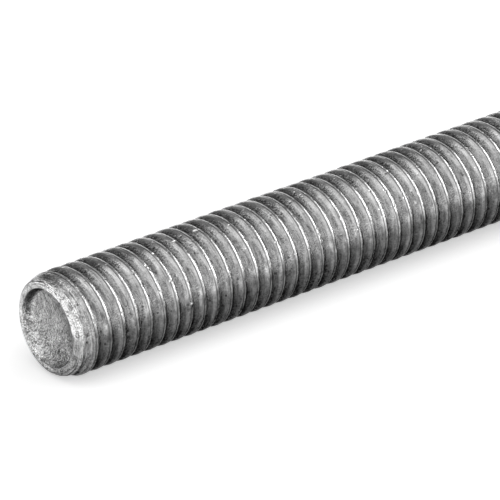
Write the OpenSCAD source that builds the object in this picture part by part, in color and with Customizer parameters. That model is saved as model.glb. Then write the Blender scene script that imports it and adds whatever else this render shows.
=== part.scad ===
// Threaded rod with a zinc coating. It is one bar of steel that lies along X, centred on
// the origin. The bar has the full diameter of the thread crests, because the fine thread
// belongs to the visual model. Each end has a chamfer that runs up to a raised lip, and
// the lip stands around the round cup that rolling the thread leaves in the end. The cup
// has a steep wall and a gently dished floor.

/* [Rod] */
// Length of the rod from lip to lip
rod_length = 304.8; // [60:0.1:1000]
// Diameter over the thread crests
crest_d = 12.6; // [10:0.1:30]

/* [Ends] */
// Length of the chamfer, along the rod
chamfer_length = 1.8; // [0.5:0.1:5]
// How far the chamfer cuts in, square to the rod
chamfer_depth = 0.6; // [0.1:0.05:0.9]
// Width of the lip between the chamfer and the cup
lip_width = 0.95; // [0.5:0.05:1.6]
// How far the lip rises from the chamfer to the cup's edge
lip_height = 0.3; // [0.05:0.05:0.5]
// Height of the cup's wall, from its foot to the lip
wall_height = 1.1; // [0.4:0.1:2.5]
// How far the wall leans in at its foot
wall_lean = 0.45; // [0.15:0.05:0.9]
// How far the middle of the floor lies below the wall's foot
floor_dish = 0.4; // [0.1:0.1:0.8]

/* [Hidden] */
$fn = 96;
half_length = rod_length / 2;
crest_r = crest_d / 2;
rim_r = crest_r - chamfer_depth;
cup_r = rim_r - lip_width;
floor_r = cup_r - wall_lean;
// radius of the ball whose cap is the cup's floor
ball_r = (floor_r * floor_r + floor_dish * floor_dish) / (2 * floor_dish);
// the wall's cone is carried on past the floor and the lip, so that it cuts cleanly
wall_beyond = 2 * floor_dish;
wall_slope = wall_lean / wall_height;
// the lip's slope is carried on to a point over the axis, which the cup takes away
point_height = cup_r * lip_height / lip_width;
// from that point down the lip and the chamfer, as [radius, height]
end_outline = [
    [0, half_length + point_height],
    [rim_r, half_length - lip_height],
    [crest_r, half_length - lip_height - chamfer_length]
];

// The same outline for the lower end, walked back to the axis
function lower(outline) =
    [for (i = [len(outline) - 1 : -1 : 0]) [outline[i].x, -outline[i].y]];

// The bar standing on end, without its cups
module bar() {
    rotate_extrude()
        polygon(concat(end_outline, lower(end_outline)));
}

// The hollow of the upper cup: a cone for its wall, rounded off below by the floor's ball
module cup() {
    cone_low = wall_height + wall_beyond;
    cone_high = point_height + wall_beyond;
    intersection() {
        translate([0, 0, half_length - cone_low])
            cylinder(
                h = cone_low + cone_high,
                r1 = cup_r - cone_low * wall_slope,
                r2 = cup_r + cone_high * wall_slope
            );
        translate([0, 0, half_length - wall_height - floor_dish + ball_r])
            sphere(r = ball_r);
    }
}

module threaded_rod() {
    color([0.62, 0.63, 0.64])
        rotate([0, 90, 0])
            difference() {
                bar();
                cup();
                mirror([0, 0, 1]) cup();
            }
}

threaded_rod();
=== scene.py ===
import math
import bmesh
import bpy
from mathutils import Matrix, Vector


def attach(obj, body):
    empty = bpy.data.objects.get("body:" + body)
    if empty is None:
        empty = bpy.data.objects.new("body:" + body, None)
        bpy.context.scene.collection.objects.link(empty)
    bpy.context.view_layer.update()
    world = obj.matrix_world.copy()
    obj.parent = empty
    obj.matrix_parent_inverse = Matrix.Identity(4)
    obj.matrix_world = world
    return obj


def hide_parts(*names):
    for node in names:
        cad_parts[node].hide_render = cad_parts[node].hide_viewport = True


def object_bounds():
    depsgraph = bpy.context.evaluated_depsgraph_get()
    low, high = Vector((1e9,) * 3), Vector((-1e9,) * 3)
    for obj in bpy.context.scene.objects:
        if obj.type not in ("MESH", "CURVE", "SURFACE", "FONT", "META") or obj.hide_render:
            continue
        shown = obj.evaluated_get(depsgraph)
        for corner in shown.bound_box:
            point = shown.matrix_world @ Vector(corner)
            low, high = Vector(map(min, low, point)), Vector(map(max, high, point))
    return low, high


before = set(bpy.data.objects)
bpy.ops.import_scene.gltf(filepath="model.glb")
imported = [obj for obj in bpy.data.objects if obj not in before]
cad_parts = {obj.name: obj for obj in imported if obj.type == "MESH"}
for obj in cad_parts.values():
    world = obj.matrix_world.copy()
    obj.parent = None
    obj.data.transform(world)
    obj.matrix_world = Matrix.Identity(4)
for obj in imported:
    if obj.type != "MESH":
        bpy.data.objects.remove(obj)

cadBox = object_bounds()
rodLength = cadBox[1].x - cadBox[0].x
crestDiameter = cadBox[1].z - cadBox[0].z
floorHeight = cadBox[0].z
print("frame loaded: rod", round(rodLength * 1000, 1), "mm long")


class Wire:
    # an output socket that takes part in sums, for any node tree
    def __init__(self, tree, socket):
        self.tree = tree
        self.socket = socket

    def __add__(self, other):
        return calc(self.tree, "ADD", self, other)

    def __radd__(self, other):
        return calc(self.tree, "ADD", other, self)

    def __sub__(self, other):
        return calc(self.tree, "SUBTRACT", self, other)

    def __rsub__(self, other):
        return calc(self.tree, "SUBTRACT", other, self)

    def __mul__(self, other):
        return calc(self.tree, "MULTIPLY", self, other)

    def __truediv__(self, other):
        return calc(self.tree, "DIVIDE", self, other)

    def __pow__(self, other):
        return calc(self.tree, "POWER", self, other)


def plug(tree, socket, value):
    # links a wire or a socket, or sets a plain value
    if isinstance(value, Wire):
        value = value.socket
    if isinstance(value, bpy.types.NodeSocket):
        tree.links.new(value, socket)
    else:
        socket.default_value = value


def addNode(tree, kind, inputs=None, **settings):
    node = tree.nodes.new(kind)
    for name, value in settings.items():
        setattr(node, name, value)
    for name, value in (inputs or {}).items():
        plug(tree, node.inputs[name], value)
    return node


def calc(tree, operation, *values):
    node = tree.nodes.new("ShaderNodeMath")
    node.operation = operation
    for socket, value in zip(node.inputs, values):
        plug(tree, socket, value)
    return Wire(tree, node.outputs[0])


def ramp(tree, value, fromLow, fromHigh, toLow=0.0, toHigh=1.0, smooth=False):
    node = addNode(tree, "ShaderNodeMapRange", {
        "Value": value, "From Min": fromLow, "From Max": fromHigh,
        "To Min": toLow, "To Max": toHigh,
    }, interpolation_type="SMOOTHSTEP" if smooth else "LINEAR")
    return Wire(tree, node.outputs["Result"])


# where the camera stands and what it looks at
cameraView = {
    "azimuth": -39.37,       # degrees round the rod
    "elevation": 25.9,
    "lens": 387.65,
    "distance": 0.626,
    "aimAlong": 0.02968,     # from the near end, along the rod
    "aimAbove": 0.00072,     # over the rod's axis
}


def makeCamera(spec):
    azimuth = math.radians(spec["azimuth"])
    elevation = math.radians(spec["elevation"])
    back = Vector((
        math.sin(azimuth) * math.cos(elevation),
        -math.cos(azimuth) * math.cos(elevation),
        math.sin(elevation),
    ))
    aim = Vector((cadBox[0].x + spec["aimAlong"], 0, spec["aimAbove"]))
    data = bpy.data.cameras.new("camera")
    data.lens = spec["lens"]
    data.clip_start = 0.01
    data.clip_end = 100
    camera = bpy.data.objects.new("camera", data)
    camera.location = aim + back * spec["distance"]
    camera.rotation_euler = (-back).to_track_quat("-Z", "Y").to_euler()
    bpy.context.scene.collection.objects.link(camera)
    bpy.context.scene.camera = camera


makeCamera(cameraView)


# the rod with its rolled thread and its ends, by Geometry Nodes
threadShape = {
    "Rod Length": rodLength,
    "Crest Diameter": crestDiameter,
    "Pitch": 0.0254 / 13,
    "Flank Slope": 47.0,          # degrees, at its steepest
    "Crest Flat": 0.00024,
    "Crest Curve": 0.00068,       # radius of the crest's rounded edges
    "Thread Start": 0.32,         # turns from the end to the first crest, underneath
    "Run In": 0.5,                # turns over which the groove deepens
    "Chamfer Length": 0.0018,
    "Chamfer Depth": 0.0006,
    "Lip Width": 0.00095,
    "Lip Height": 0.0003,
    "Wall Height": 0.0011,
    "Wall Lean": 0.00045,
    "Floor Dish": 0.0004,
    "Wall Foot": 0.0005,          # size of the curve where the wall meets the floor
    "Unevenness": 0.00002,
    "Segments Around": 42,
    "Rows Per Turn": 14,
}


def makeThreadTree(spec):
    tree = bpy.data.node_groups.new("rolledThread", "GeometryNodeTree")
    face = tree.interface
    face.new_socket("Geometry", in_out="INPUT", socket_type="NodeSocketGeometry")
    for name, value in spec.items():
        kind = "NodeSocketInt" if isinstance(value, int) else "NodeSocketFloat"
        face.new_socket(name, in_out="INPUT", socket_type=kind)
    face.new_socket("Material", in_out="INPUT", socket_type="NodeSocketMaterial")
    face.new_socket("Geometry", in_out="OUTPUT", socket_type="NodeSocketGeometry")
    given = tree.nodes.new("NodeGroupInput").outputs
    size = {name: Wire(tree, given[name]) for name in spec}

    length = size["Rod Length"]
    pitch = size["Pitch"]
    crestR = size["Crest Diameter"] * 0.5
    rimR = crestR - size["Chamfer Depth"]
    cupR = rimR - size["Lip Width"]
    crestRound = crestR * (2 * math.pi)
    around = size["Segments Around"]
    spareTurns = 2.0
    turns = calc(tree, "CEIL", length / pitch) + spareTurns

    # a flat sheet whose X goes round the rod and whose Y goes along it
    def sheet(rows):
        grid = addNode(tree, "GeometryNodeMeshGrid", {
            "Size X": 1.0, "Size Y": 1.0, "Vertices X": around + 1, "Vertices Y": rows + 1,
        })
        place = addNode(tree, "ShaderNodeSeparateXYZ", {
            "Vector": addNode(tree, "GeometryNodeInputPosition").outputs["Position"],
        })
        u, v = (Wire(tree, place.outputs[axis]) + 0.5 for axis in "XY")
        return grid.outputs["Mesh"], u, v

    # puts each point of a sheet at an angle, a radius and a distance from the near end
    def wrap(mesh, u, radius, along):
        angle = u * (2 * math.pi) + math.pi
        point = addNode(tree, "ShaderNodeCombineXYZ", {
            "X": along - length * 0.5,
            "Y": radius * calc(tree, "SINE", angle) * -1.0,
            "Z": radius * calc(tree, "COSINE", angle),
        })
        moved = addNode(tree, "GeometryNodeSetPosition", {
            "Geometry": mesh, "Position": point.outputs["Vector"],
        })
        return moved.outputs["Geometry"]

    def keep(mesh, name, value, domain="POINT", kind="FLOAT"):
        node = addNode(tree, "GeometryNodeStoreNamedAttribute", {"Geometry": mesh, "Name": name},
                       data_type=kind, domain=domain)
        plug(tree, node.inputs["Value"], value)
        return node.outputs["Geometry"]

    # thread: one arc from the crest's flat to the steepest line, and a hollow arc to the root
    mesh, u, v = sheet(turns * size["Rows Per Turn"])
    slope = calc(tree, "RADIANS", size["Flank Slope"])
    lean = calc(tree, "SINE", slope)
    rise = 1.0 - calc(tree, "COSINE", slope)
    flat = size["Crest Flat"] * 0.5
    crestArc = size["Crest Curve"]
    halfWave = pitch * 0.5 - flat
    rootArc = halfWave / lean - crestArc
    # rows on each side of a crest: one over the flat, three over the curve, the rest in the hollow
    even = v * turns
    nearest = calc(tree, "ROUND", even)
    step = calc(tree, "ABSOLUTE", even - nearest)
    flatEnd = calc(tree, "DIVIDE", 1.0, size["Rows Per Turn"])
    curveEnd = flatEnd * 4.0
    side = ramp(tree, step, flatEnd, curveEnd, 0.0, crestArc * lean)
    side = side + ramp(tree, step, curveEnd, 0.5, 0.0, rootArc * lean)
    across = side + ramp(tree, step, 0.0, flatEnd, 0.0, flat)
    turn = nearest + across / pitch * calc(tree, "SIGN", even - nearest)
    # the sheet's two spare turns are pressed flat against the lips
    unclipped = (turn + u + size["Thread Start"] - spareTurns) * pitch
    along = calc(tree, "MAXIMUM", unclipped, size["Lip Height"])
    along = calc(tree, "MINIMUM", along, length - size["Lip Height"])
    fromEnd = calc(tree, "MINIMUM", along, length - along) - size["Lip Height"]
    onCrest = calc(tree, "MINIMUM", side, crestArc * lean)
    onRoot = calc(tree, "MINIMUM", halfWave - side, rootArc * lean)
    drop = crestArc - calc(tree, "SQRT", crestArc ** 2.0 - onCrest ** 2.0)
    drop = drop + rootArc * rise - rootArc + calc(tree, "SQRT", rootArc ** 2.0 - onRoot ** 2.0)
    depth = (crestArc + rootArc) * rise
    formed = ramp(tree, fromEnd, 0.0, size["Run In"] * pitch, smooth=True)
    # the chamfer bows out a little, and the thread is shallower on it
    chamferBow = 1.3
    shallower = 0.6
    onChamfer = calc(tree, "MAXIMUM", 1.0 - fromEnd / size["Chamfer Length"], 0.0)
    chamfer = size["Chamfer Depth"] * onChamfer ** chamferBow
    radius = crestR - chamfer - drop * formed * (1.0 - chamfer / size["Chamfer Depth"] * shallower)

    # hammered unevenness, the same on both sides of the sheet's seam
    dentsPerMetre = 700.0
    dentsRing = 4.5          # radius of the ring that the noise is read on, round the rod
    angle = u * (2 * math.pi)
    spot = addNode(tree, "ShaderNodeCombineXYZ", {
        "X": along * dentsPerMetre,
        "Y": calc(tree, "SINE", angle) * dentsRing,
        "Z": calc(tree, "COSINE", angle) * dentsRing,
    })
    bumps = addNode(tree, "ShaderNodeTexNoise", {
        "Vector": spot.outputs["Vector"], "Scale": 1.0, "Detail": 2.0,
    })
    radius = radius + (Wire(tree, bumps.outputs[0]) - 0.5) * 2.0 * size["Unevenness"] * formed

    mesh = keep(mesh, "valley", drop / depth * formed)
    mesh = keep(mesh, "acrossThread", turn - nearest)
    mesh = keep(mesh, "endFace", 0.0)
    # how far along the helix and across it each face corner lies, in metres
    faceRow = addNode(tree, "GeometryNodeFieldOnDomain", {}, data_type="FLOAT", domain="FACE")
    plug(tree, faceRow.inputs["Value"], turn)
    faceTurn = calc(tree, "FLOOR", Wire(tree, faceRow.outputs["Value"]) + 0.5)
    flow = addNode(tree, "ShaderNodeCombineXYZ", {
        "X": (faceTurn + u) * crestRound, "Y": (turn - faceTurn) * pitch, "Z": 0.0,
    })
    mesh = keep(mesh, "threadFlow", flow.outputs["Vector"], "CORNER", "FLOAT_VECTOR")
    threadMesh = wrap(mesh, u, radius, along)

    # lip: rises from the chamfer and levels off at the cup's edge
    lipRows = 6
    mesh, u, v = sheet(lipRows)
    reach = 1.0 - (1.0 - v) ** 2.0
    lipR = rimR - size["Lip Width"] * reach
    lipAlong = size["Lip Height"] * (1.0 - reach) ** 2.0
    mesh = keep(mesh, "valley", 0.0)
    mesh = keep(mesh, "acrossThread", 0.5)
    mesh = keep(mesh, "endFace", reach * 0.5)
    flow = addNode(tree, "ShaderNodeCombineXYZ", {"X": u * crestRound, "Y": lipR, "Z": 0.0})
    mesh = keep(mesh, "threadFlow", flow.outputs["Vector"], "CORNER", "FLOAT_VECTOR")
    lipMesh = wrap(mesh, u, lipR, lipAlong)

    # cup: a steep wall and a dished floor, with its rings closest together at the edge
    cupRows = 16
    ringSpacing = 1.8
    mesh, u, v = sheet(cupRows)
    hollowR = cupR * (1.0 - v ** ringSpacing)
    wall = (cupR - hollowR) * size["Wall Height"] / size["Wall Lean"]
    dish = size["Wall Height"] + size["Floor Dish"] * (1.0 - (hollowR / cupR) ** 2.0)
    hollow = calc(tree, "SMOOTH_MIN", wall, dish, size["Wall Foot"])
    mesh = keep(mesh, "valley", 0.0)
    mesh = keep(mesh, "acrossThread", 0.5)
    mesh = keep(mesh, "endFace", ramp(tree, hollow, 0.0, size["Wall Height"], 0.5, 1.0))
    flow = addNode(tree, "ShaderNodeCombineXYZ", {"X": u * crestRound, "Y": hollowR, "Z": 0.0})
    mesh = keep(mesh, "threadFlow", flow.outputs["Vector"], "CORNER", "FLOAT_VECTOR")
    cupMesh = wrap(mesh, u, hollowR, calc(tree, "MAXIMUM", hollow, 0.0))

    # the near end's lip and cup, and the same turned round for the far end
    nearEnd = addNode(tree, "GeometryNodeJoinGeometry")
    for part in (lipMesh, cupMesh):
        tree.links.new(part, nearEnd.inputs["Geometry"])
    farEnd = addNode(tree, "GeometryNodeTransform", {
        "Geometry": nearEnd.outputs["Geometry"], "Rotation": (0.0, 0.0, math.pi),
    })
    mergeWithin = 0.000002
    whole = addNode(tree, "GeometryNodeJoinGeometry")
    for part in (threadMesh, nearEnd.outputs["Geometry"], farEnd.outputs["Geometry"]):
        tree.links.new(part, whole.inputs["Geometry"])
    merged = addNode(tree, "GeometryNodeMergeByDistance", {
        "Geometry": whole.outputs["Geometry"], "Distance": mergeWithin,
    })
    real = addNode(tree, "GeometryNodeRealizeInstances", {"Geometry": merged.outputs["Geometry"]})
    smooth = addNode(tree, "GeometryNodeSetShadeSmooth", {"Geometry": real.outputs["Geometry"]})
    painted = addNode(tree, "GeometryNodeSetMaterial", {
        "Geometry": smooth.outputs["Geometry"], "Material": given["Material"],
    })
    last = tree.nodes.new("NodeGroupOutput")
    tree.links.new(painted.outputs["Geometry"], last.inputs["Geometry"])
    return tree


def makeThreadedRod(spec, material):
    # the modifier's result becomes a plain mesh, and the modifier goes
    carrier = bpy.data.objects.new("rodCarrier", bpy.data.meshes.new("rodCarrier"))
    bpy.context.scene.collection.objects.link(carrier)
    modifier = carrier.modifiers.new("thread", "NODES")
    tree = makeThreadTree(spec)
    modifier.node_group = tree
    values = dict(spec, Material=material)
    for item in tree.interface.items_tree:
        if item.in_out == "INPUT" and item.name in values:
            modifier[item.identifier] = values[item.name]
    bpy.context.view_layer.update()
    evaluated = carrier.evaluated_get(bpy.context.evaluated_depsgraph_get())
    mesh = bpy.data.meshes.new_from_object(evaluated)
    mesh.name = "rolledRod"
    bpy.data.objects.remove(carrier)
    shortestEdge = 1e-7
    bm = bmesh.new()
    bm.from_mesh(mesh)
    bmesh.ops.dissolve_degenerate(bm, edges=bm.edges, dist=shortestEdge)
    bmesh.ops.recalc_face_normals(bm, faces=bm.faces)
    openEdges = sum(not edge.is_manifold for edge in bm.edges)
    triangles = sum(len(f.verts) - 2 for f in bm.faces)
    bm.to_mesh(mesh)
    bm.free()
    rod = bpy.data.objects.new("rolledRod", mesh)
    bpy.context.scene.collection.objects.link(rod)
    print("rod made:", triangles, "triangles,", openEdges, "open edges")
    return rod


# the zinc coating
zincFinish = {
    "grey": 0.53,            # where it is neither worn nor dirty
    # painted shade: the thread's root darker
    "grooveShade": 0.85,      # share of that grey left in the bottom of the thread
    "grooveDirtAndShade": 0.62,            # share taken off in the dark marks in the grooves
    # painted shade: more taken off along the top
    "topShade": 0.12,         # share more than that along the top of the rod
    "seam": 0.80,            # share taken off in the seam
    "seamPlace": 0.030,      # turns from the crest's middle
    # sizes of its marks, in metres
    "grain": 0.00020,
    "patch": 0.00085,
    "cloud": 0.0060,
    "mottleLength": 0.0022,
    "mottleWidth": 0.00065,
    "streakLength": 0.0030,
    "streakWidth": 0.00014,
    # round marks: size of a cell, share of the cells that hold one, radius
    "beads": (0.0011, 0.22, 0.00022),
    "blobs": (0.0060, 0.30, 0.00045),
    "pits": (0.0007, 0.55, 0.00022),
    # where painted light and painted shade lie round the rod, as across (Y) and up (Z)
    "topSide": (0.3, 0.95),
    "litCupSide": (0.7, -0.7),
    "litLipSide": (-0.61, 0.79),
    "shadedWallSide": (0.5, 0.8),
    "shadowedCupSide": (-0.85, 0.5),
    "litLowSide": (0.75, -0.65),
    # metres from an end where the look of the end starts, and where it is full
    "nearEnd": (0.0030, 0.0012),
    "besideLip": (0.0017, 0.0006),
    # grey where no mark lies, and how much more or less of it each mark has
    "evenTone": 1.05,
    "grainTone": 1.0,
    "mottleTone": 2.0,
    "patchTone": 0.6,
    "cloudTone": 0.6,
    "streakTone": 0.7,
    "underGrainTone": 3.0,
    "beadTone": 0.8,
    "blobTone": 0.3,
    "pitTone": 0.6,
    # painted light and shade: grey gained or lost, as a share of the even grey
    "topCrestLight": 0.60,
    "lowCrestLight": 0.40,
    "lowGrooveShade": 0.14,
    "lipHighlight": 3.4,
    "lowHighlight": 1.7,
    "wallShade": 0.75,
    "cupShadow": 0.22,
    "metallic": 0.95,
    "crestRoughness": 0.12,
    "grooveRoughness": 0.25,
    "patchRoughness": 0.25,
    "cupRoughness": 0.1,
    # how high the marks stand, against each other, and the height in metres of all of them
    "grainHeight": 1.0,
    "mottleHeight": 3.0,
    "streakHeight": 0.4,
    "beadHeight": 1.4,
    "blobHeight": 2.4,
    "pitHeight": 0.8,
    "cupPatchHeight": 0.9,
    "cupGrainHeight": 0.8,
    "bumpHeight": 0.00009,
    "floorReach": 0.020,     # how near the floor has to be to shade the metal
    "dimBelow": 0.72,        # share of open room under which it is dim
    "brightAbove": 0.92,
}


def noise(tree, vector, size, detail=2.0, roughness=0.5):
    node = addNode(tree, "ShaderNodeTexNoise", {
        "Vector": vector, "Scale": 1.0 / size, "Detail": detail, "Roughness": roughness,
    })
    return Wire(tree, node.outputs[0])


def spots(tree, vector, size, share, radius):
    # round spots, one in a cell for a share of the cells: 1 in a spot's middle, 0 outside it
    cell = addNode(tree, "ShaderNodeTexVoronoi", {"Vector": vector, "Scale": 1.0 / size})
    pick = addNode(tree, "ShaderNodeSeparateColor", {"Color": cell.outputs["Color"]})
    chosen = calc(tree, "LESS_THAN", Wire(tree, pick.outputs["Red"]), share)
    reach = (Wire(tree, pick.outputs["Green"]) * 0.7 + 0.5) * (radius / size)
    dome = 1.0 - Wire(tree, cell.outputs["Distance"]) / reach
    return calc(tree, "MAXIMUM", dome, 0.0) * chosen


def readMarks(tree, spec):
    # what the rest of the material is made from: places on the rod, and marks on its metal
    here = addNode(tree, "ShaderNodeTexCoord").outputs["Object"]
    place = addNode(tree, "ShaderNodeSeparateXYZ", {"Vector": here}).outputs
    marks = {axis: Wire(tree, place[axis]) for axis in "XYZ"}

    def given(name, output="Fac"):
        return addNode(tree, "ShaderNodeAttribute", attribute_name=name).outputs[output]

    def alongThread(length, width, detail):
        # marks drawn out along the thread
        stretched = addNode(tree, "ShaderNodeVectorMath", {
            0: given("threadFlow", "Vector"), 1: (1.0 / length, 1.0 / width, 0.0),
        }, operation="MULTIPLY")
        return noise(tree, stretched.outputs["Vector"], 1.0, detail, 0.55) - 0.5

    marks["valley"] = Wire(tree, given("valley"))
    marks["across"] = Wire(tree, given("acrossThread"))
    marks["onEnd"] = Wire(tree, given("endFace"))
    marks["inCup"] = ramp(tree, marks["onEnd"], 0.5, 1.0)
    marks["onBar"] = 1.0 - marks["onEnd"]
    fromMiddle = calc(tree, "ABSOLUTE", marks["X"])
    for name in ("nearEnd", "besideLip"):
        start, full = spec[name]
        marks[name] = ramp(tree, fromMiddle, rodLength / 2 - start, rodLength / 2 - full)
    marks["grain"] = noise(tree, here, spec["grain"], 2.0, 0.6) - 0.5
    marks["patch"] = noise(tree, here, spec["patch"], 3.0, 0.6) - 0.5
    marks["cloud"] = noise(tree, here, spec["cloud"], 2.0, 0.5) - 0.5
    marks["streak"] = alongThread(spec["streakLength"], spec["streakWidth"], 1.0)
    marks["mottle"] = alongThread(spec["mottleLength"], spec["mottleWidth"], 3.0) * marks["onBar"]
    marks["mottle"] = marks["mottle"] + marks["patch"] * marks["onEnd"] * 0.5
    for name in ("beads", "blobs", "pits"):
        marks[name] = spots(tree, here, *spec[name])
    return marks


def zincTone(tree, spec, marks):
    # grey: mottled, streaked along the thread, with dirt and painted shade in its grooves, painted light on
    # its crests, lip and cup, and painted shade and shadow in its cup
    def toward(side):
        # how far a place lies to that side of the rod's axis, in metres
        y, z = spec[side]
        return marks["Y"] * y + marks["Z"] * z

    grain, patch, mottle = marks["grain"], marks["patch"], marks["mottle"]
    valley, onEnd, inCup, nearEnd = marks["valley"], marks["onEnd"], marks["inCup"], marks["nearEnd"]

    tone = spec["evenTone"] + grain * spec["grainTone"] + mottle * spec["mottleTone"]
    tone = tone + patch * spec["patchTone"] + marks["cloud"] * spec["cloudTone"]
    # painted light: the cup's floor lighter, with brighter specks, on its lit side
    paintedCupLight = ramp(tree, toward("litCupSide"), -0.002, 0.005)
    tone = tone * (1.0 + inCup * (paintedCupLight * 0.7 - 0.05)) + inCup * grain * (0.6 + paintedCupLight * 1.6)

    # painted light: crests lighter along the top and the underside; painted shade: grooves darker
    # underneath; and specks on the underside
    upper = ramp(tree, toward("topSide"), 0.0030, 0.0058)
    under = ramp(tree, marks["Z"], 0.0005, -0.0035)
    crest = ramp(tree, valley, 0.50, 0.12) * (1.0 - nearEnd) * marks["onBar"]
    # painted light on the crests at the top and underneath, painted shade in the grooves underneath
    paintedCrestLight = crest * (upper * spec["topCrestLight"] + under * spec["lowCrestLight"])
    tone = tone * (1.0 + paintedCrestLight - under * (1.0 - crest) * spec["lowGrooveShade"])
    tone = tone + under * grain * spec["underGrainTone"]

    # dark marks in the grooves, partly dirt and partly painted shade, most of it on top
    grooveDirtAndShade = ramp(tree, mottle + grain * (0.4 + upper * 1.4) + upper * 0.04, -0.02, 0.13)
    grooveDirtAndShade = grooveDirtAndShade * ramp(tree, valley, 0.15, 0.6)
    tone = tone * (1.0 - grooveDirtAndShade * (spec["grooveDirtAndShade"] + upper * spec["topShade"]))
    tone = tone + marks["streak"] * (spec["streakTone"] + nearEnd * 2.0) * marks["onBar"]
    tone = tone + marks["beads"] * spec["beadTone"] + marks["blobs"] * spec["blobTone"]
    tone = tone - marks["pits"] * spec["pitTone"] * (0.4 + valley)

    # painted highlight on the lip and the thread beside it on one side and on the wall and lip low down;
    # painted shade on the cup's wall at the top, and a painted shadow on the cup's floor on one side
    lip = ramp(tree, onEnd, 0.1, 0.3) * ramp(tree, onEnd, 0.9, 0.6)
    wall = ramp(tree, onEnd, 0.45, 0.6) * ramp(tree, onEnd, 0.98, 0.85)
    # painted highlight: the lip and the thread beside it whitened on one side
    corner = ramp(tree, toward("litLipSide"), 0.0033, 0.0046, 0.05, 1.0)
    edge = calc(tree, "MAXIMUM", lip, marks["besideLip"] * marks["onBar"] * 0.35)
    tone = tone + edge * corner * ramp(tree, patch + grain * 1.2, -0.08, 0.05, 0.1, spec["lipHighlight"])
    # painted shade: the cup's wall darker towards the top
    paintedWallShade = wall * ramp(tree, toward("shadedWallSide"), 0.0005, 0.003)
    tone = tone * (1.0 - paintedWallShade * spec["wallShade"])
    # painted shadow of the lip on the cup's floor, on one side
    paintedCupShadow = inCup * ramp(tree, toward("shadowedCupSide"), 0.0002, 0.0016)
    tone = tone * (1.0 - paintedCupShadow * spec["cupShadow"])
    # painted highlight: the cup's wall and the lip whitened low down
    low = ramp(tree, toward("litLowSide"), 0.0018, 0.0038) * calc(tree, "MAXIMUM", wall, lip)
    tone = tone + low * ramp(tree, patch + grain, -0.10, 0.10, 0.2, spec["lowHighlight"])

    # the seam that rolling leaves beside the middle of the crest, broken here and there
    seam = ramp(tree, calc(tree, "ABSOLUTE", marks["across"] - spec["seamPlace"]), 0.045, 0.02)
    broken = ramp(tree, mottle + marks["streak"] * 0.4, -0.10, 0.04, 0.3, spec["seam"])
    return tone * (1.0 - seam * broken)


def floorShade(tree, spec, marks):
    # painted shade: the metal's grey is darkened where the floor is close beneath it, by the share of open
    # room that the floor takes, from two ambient occlusions
    outwards = addNode(tree, "ShaderNodeCombineXYZ", {"X": 0.0, "Y": marks["Y"], "Z": marks["Z"]})
    outwards = addNode(tree, "ShaderNodeVectorMath", {0: outwards.outputs["Vector"]}, operation="NORMALIZE")
    # the mix takes its two directions on sockets 4 and 5
    facing = addNode(tree, "ShaderNodeMix", {0: ramp(tree, marks["onEnd"], 0.0, 0.4)}, data_type="VECTOR")
    tree.links.new(outwards.outputs["Vector"], facing.inputs[4])
    tree.links.new(addNode(tree, "ShaderNodeNewGeometry").outputs["Normal"], facing.inputs[5])
    reach = {"Distance": spec["floorReach"], "Normal": facing.outputs[1]}
    around = addNode(tree, "ShaderNodeAmbientOcclusion", reach, samples=16)
    itself = addNode(tree, "ShaderNodeAmbientOcclusion", reach, samples=16, only_local=True)
    clear = Wire(tree, around.outputs["AO"]) / calc(tree, "MAXIMUM", Wire(tree, itself.outputs["AO"]), 0.05)
    clear = calc(tree, "MINIMUM", clear, 1.0) + marks["patch"] * 0.15 + marks["mottle"] * 0.25
    shade = ramp(tree, clear, spec["dimBelow"], spec["brightAbove"], 0.24, 1.0, smooth=True)
    shade = shade * ramp(tree, clear, 0.3, spec["dimBelow"], 0.35, 1.0)
    return shade + (1.0 - shade) * calc(tree, "MAXIMUM", marks["inCup"] * 0.7, marks["nearEnd"] * 0.45)


def makeZinc(spec):
    material = bpy.data.materials.new("zincCoating")
    material.use_nodes = True
    tree = material.node_tree
    shader = tree.nodes["Principled BSDF"]
    marks = readMarks(tree, spec)
    grain, patch, mottle = marks["grain"], marks["patch"], marks["mottle"]
    valley, inCup, nearEnd = marks["valley"], marks["inCup"], marks["nearEnd"]
    tone = zincTone(tree, spec, marks)
    shade = floorShade(tree, spec, marks)

    # painted shade: the grey is darkened towards the thread's root, and where the floor is close beneath it
    paintedGrooveShade = ramp(tree, valley, 0.55, 1.0, 1.0, spec["grooveShade"], smooth=True)
    grey = calc(tree, "MAXIMUM", tone, 0.3) * paintedGrooveShade * shade * spec["grey"]
    # painted shade in the reflection: the grazing edge's tint dims with the painted shade and with the
    # tone, or dark marks would shine there
    rim = (shade * 0.4 + 0.36) * calc(tree, "MINIMUM", calc(tree, "MAXIMUM", tone * tone, 0.3), 1.5)
    for name, value in (("Base Color", grey), ("Specular Tint", rim)):
        colour = addNode(tree, "ShaderNodeCombineColor", {"Red": value, "Green": value, "Blue": value})
        tree.links.new(colour.outputs["Color"], shader.inputs[name])

    rough = ramp(tree, valley, 0.1, 0.8, spec["crestRoughness"], spec["grooveRoughness"])
    rough = rough + patch * spec["patchRoughness"] + inCup * spec["cupRoughness"]
    plug(tree, shader.inputs["Roughness"], rough)
    shader.inputs["Metallic"].default_value = spec["metallic"]

    height = grain * spec["grainHeight"] + mottle * spec["mottleHeight"]
    height = height + marks["streak"] * (spec["streakHeight"] + nearEnd) * marks["onBar"]
    height = height * ramp(tree, valley + marks["onEnd"] + nearEnd, 0.0, 0.6, 0.2, 1.0)
    height = height + marks["beads"] * spec["beadHeight"] + marks["blobs"] * spec["blobHeight"]
    height = height - marks["pits"] * spec["pitHeight"]
    height = height + inCup * (patch * spec["cupPatchHeight"] + grain * spec["cupGrainHeight"])
    bump = addNode(tree, "ShaderNodeBump", {
        "Height": height, "Strength": 1.0, "Distance": spec["bumpHeight"],
    })
    tree.links.new(bump.outputs["Normal"], shader.inputs["Normal"])
    return material


zinc = makeZinc(zincFinish)
rod = makeThreadedRod(threadShape, zinc)
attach(rod, "root")
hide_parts("threaded_rod")


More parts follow.
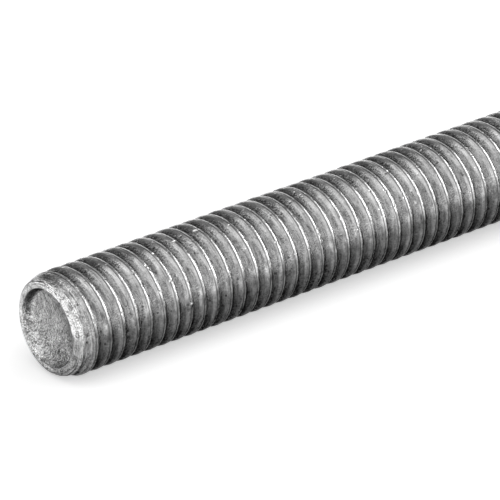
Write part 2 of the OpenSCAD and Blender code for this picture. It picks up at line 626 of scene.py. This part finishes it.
# floor and light
studio = {
    "floorHalf": 30,         # half the floor's width, in metres
    "seenFloor": 0.96,       # as the camera, metal and glass see it
    "bounceFloor": 0.08,     # as the light that it throws back
    "floorGlow": 0.50,       # what brings the seen floor up to white
    "behind": 0.14,          # the room behind the rod
    "sweep": 0.85,           # pale backdrop all round, low down
    "sweepTop": 0.05,        # how high it reaches, as the sine of the angle
    # name, degrees round from +X, degrees up, degrees from its middle to its edge,
    # half the width of that soft edge, brightness
    "cards": [
        ("softbox", -70, 46, 52, 34, 0.95),
        ("leftCard", -172, 54, 32, 12, 1.15),
        ("topCard", 5, 66, 24, 14, 0.62),
        ("rightCard", -40, 2, 28, 11, 1.20),
        ("farLamp", -3, 4, 25, 9, 5.0),
        ("backCard", 42, 8, 20, 12, 0.55),
    ],
    "gap": ("gap", -128, -4, 22, 12, 0.35),    # dim gap in front, where one looks in
}


def direction(azimuth, height):
    a, h = math.radians(azimuth), math.radians(height)
    return Vector((math.cos(a) * math.cos(h), math.sin(a) * math.cos(h), math.sin(h)))


def makeFloor(spec):
    half = spec["floorHalf"]
    corners = [(x * half, y * half, floorHeight) for x, y in ((-1, -1), (1, -1), (1, 1), (-1, 1))]
    mesh = bpy.data.meshes.new("floor")
    mesh.from_pydata(corners, [], [(0, 1, 2, 3)])
    floor = bpy.data.objects.new("floor", mesh)
    bpy.context.scene.collection.objects.link(floor)
    material = bpy.data.materials.new("paleFloor")
    material.use_nodes = True
    tree = material.node_tree
    shader = tree.nodes["Principled BSDF"]
    path = addNode(tree, "ShaderNodeLightPath").outputs
    seen = calc(tree, "MAXIMUM", path["Is Camera Ray"], path["Is Glossy Ray"])
    seen = calc(tree, "MAXIMUM", seen, path["Is Transmission Ray"])
    grey = ramp(tree, seen, 0.0, 1.0, spec["bounceFloor"], spec["seenFloor"])
    plug(tree, shader.inputs["Base Color"], grey)
    shader.inputs["Roughness"].default_value = 0.9
    shader.inputs["Specular IOR Level"].default_value = 0.1
    shader.inputs["Emission Color"].default_value = (1, 1, 1, 1)
    plug(tree, shader.inputs["Emission Strength"], seen * spec["floorGlow"])
    mesh.materials.append(material)


def makeWorld(spec):
    # a dim room with a pale sweep round its foot, and soft cards of light round the front
    world = bpy.data.worlds.new("studio")
    bpy.context.scene.world = world
    world.use_nodes = True
    tree = world.node_tree
    look = addNode(tree, "ShaderNodeTexCoord").outputs["Generated"]

    def card(name, azimuth, height, reach, edge):
        # 1 inside a round patch of the room, 0 outside it
        facing = addNode(tree, "ShaderNodeVectorMath", {
            0: look, 1: direction(azimuth, height),
        }, operation="DOT_PRODUCT", label=name)
        off = calc(tree, "ARCCOSINE", calc(tree, "MINIMUM", facing.outputs["Value"], 1.0))
        return ramp(tree, off, math.radians(reach + edge), math.radians(reach - edge), smooth=True)

    up = Wire(tree, addNode(tree, "ShaderNodeSeparateXYZ", {"Vector": look}).outputs["Z"])
    fadeLow, fadeHigh = spec["sweepTop"] * 0.5, spec["sweepTop"] * 1.5
    grey = ramp(tree, up, fadeLow, fadeHigh, spec["sweep"], spec["behind"], smooth=True)
    for *place, brightness in spec["cards"]:
        grey = calc(tree, "MAXIMUM", grey, card(*place) * brightness)
    *place, brightness = spec["gap"]
    gap = card(*place)
    grey = grey * (1.0 - gap) + gap * brightness
    plug(tree, tree.nodes["Background"].inputs["Color"], grey)


makeFloor(studio)
makeWorld(studio)
bpy.context.scene.view_settings.view_transform = "Standard"
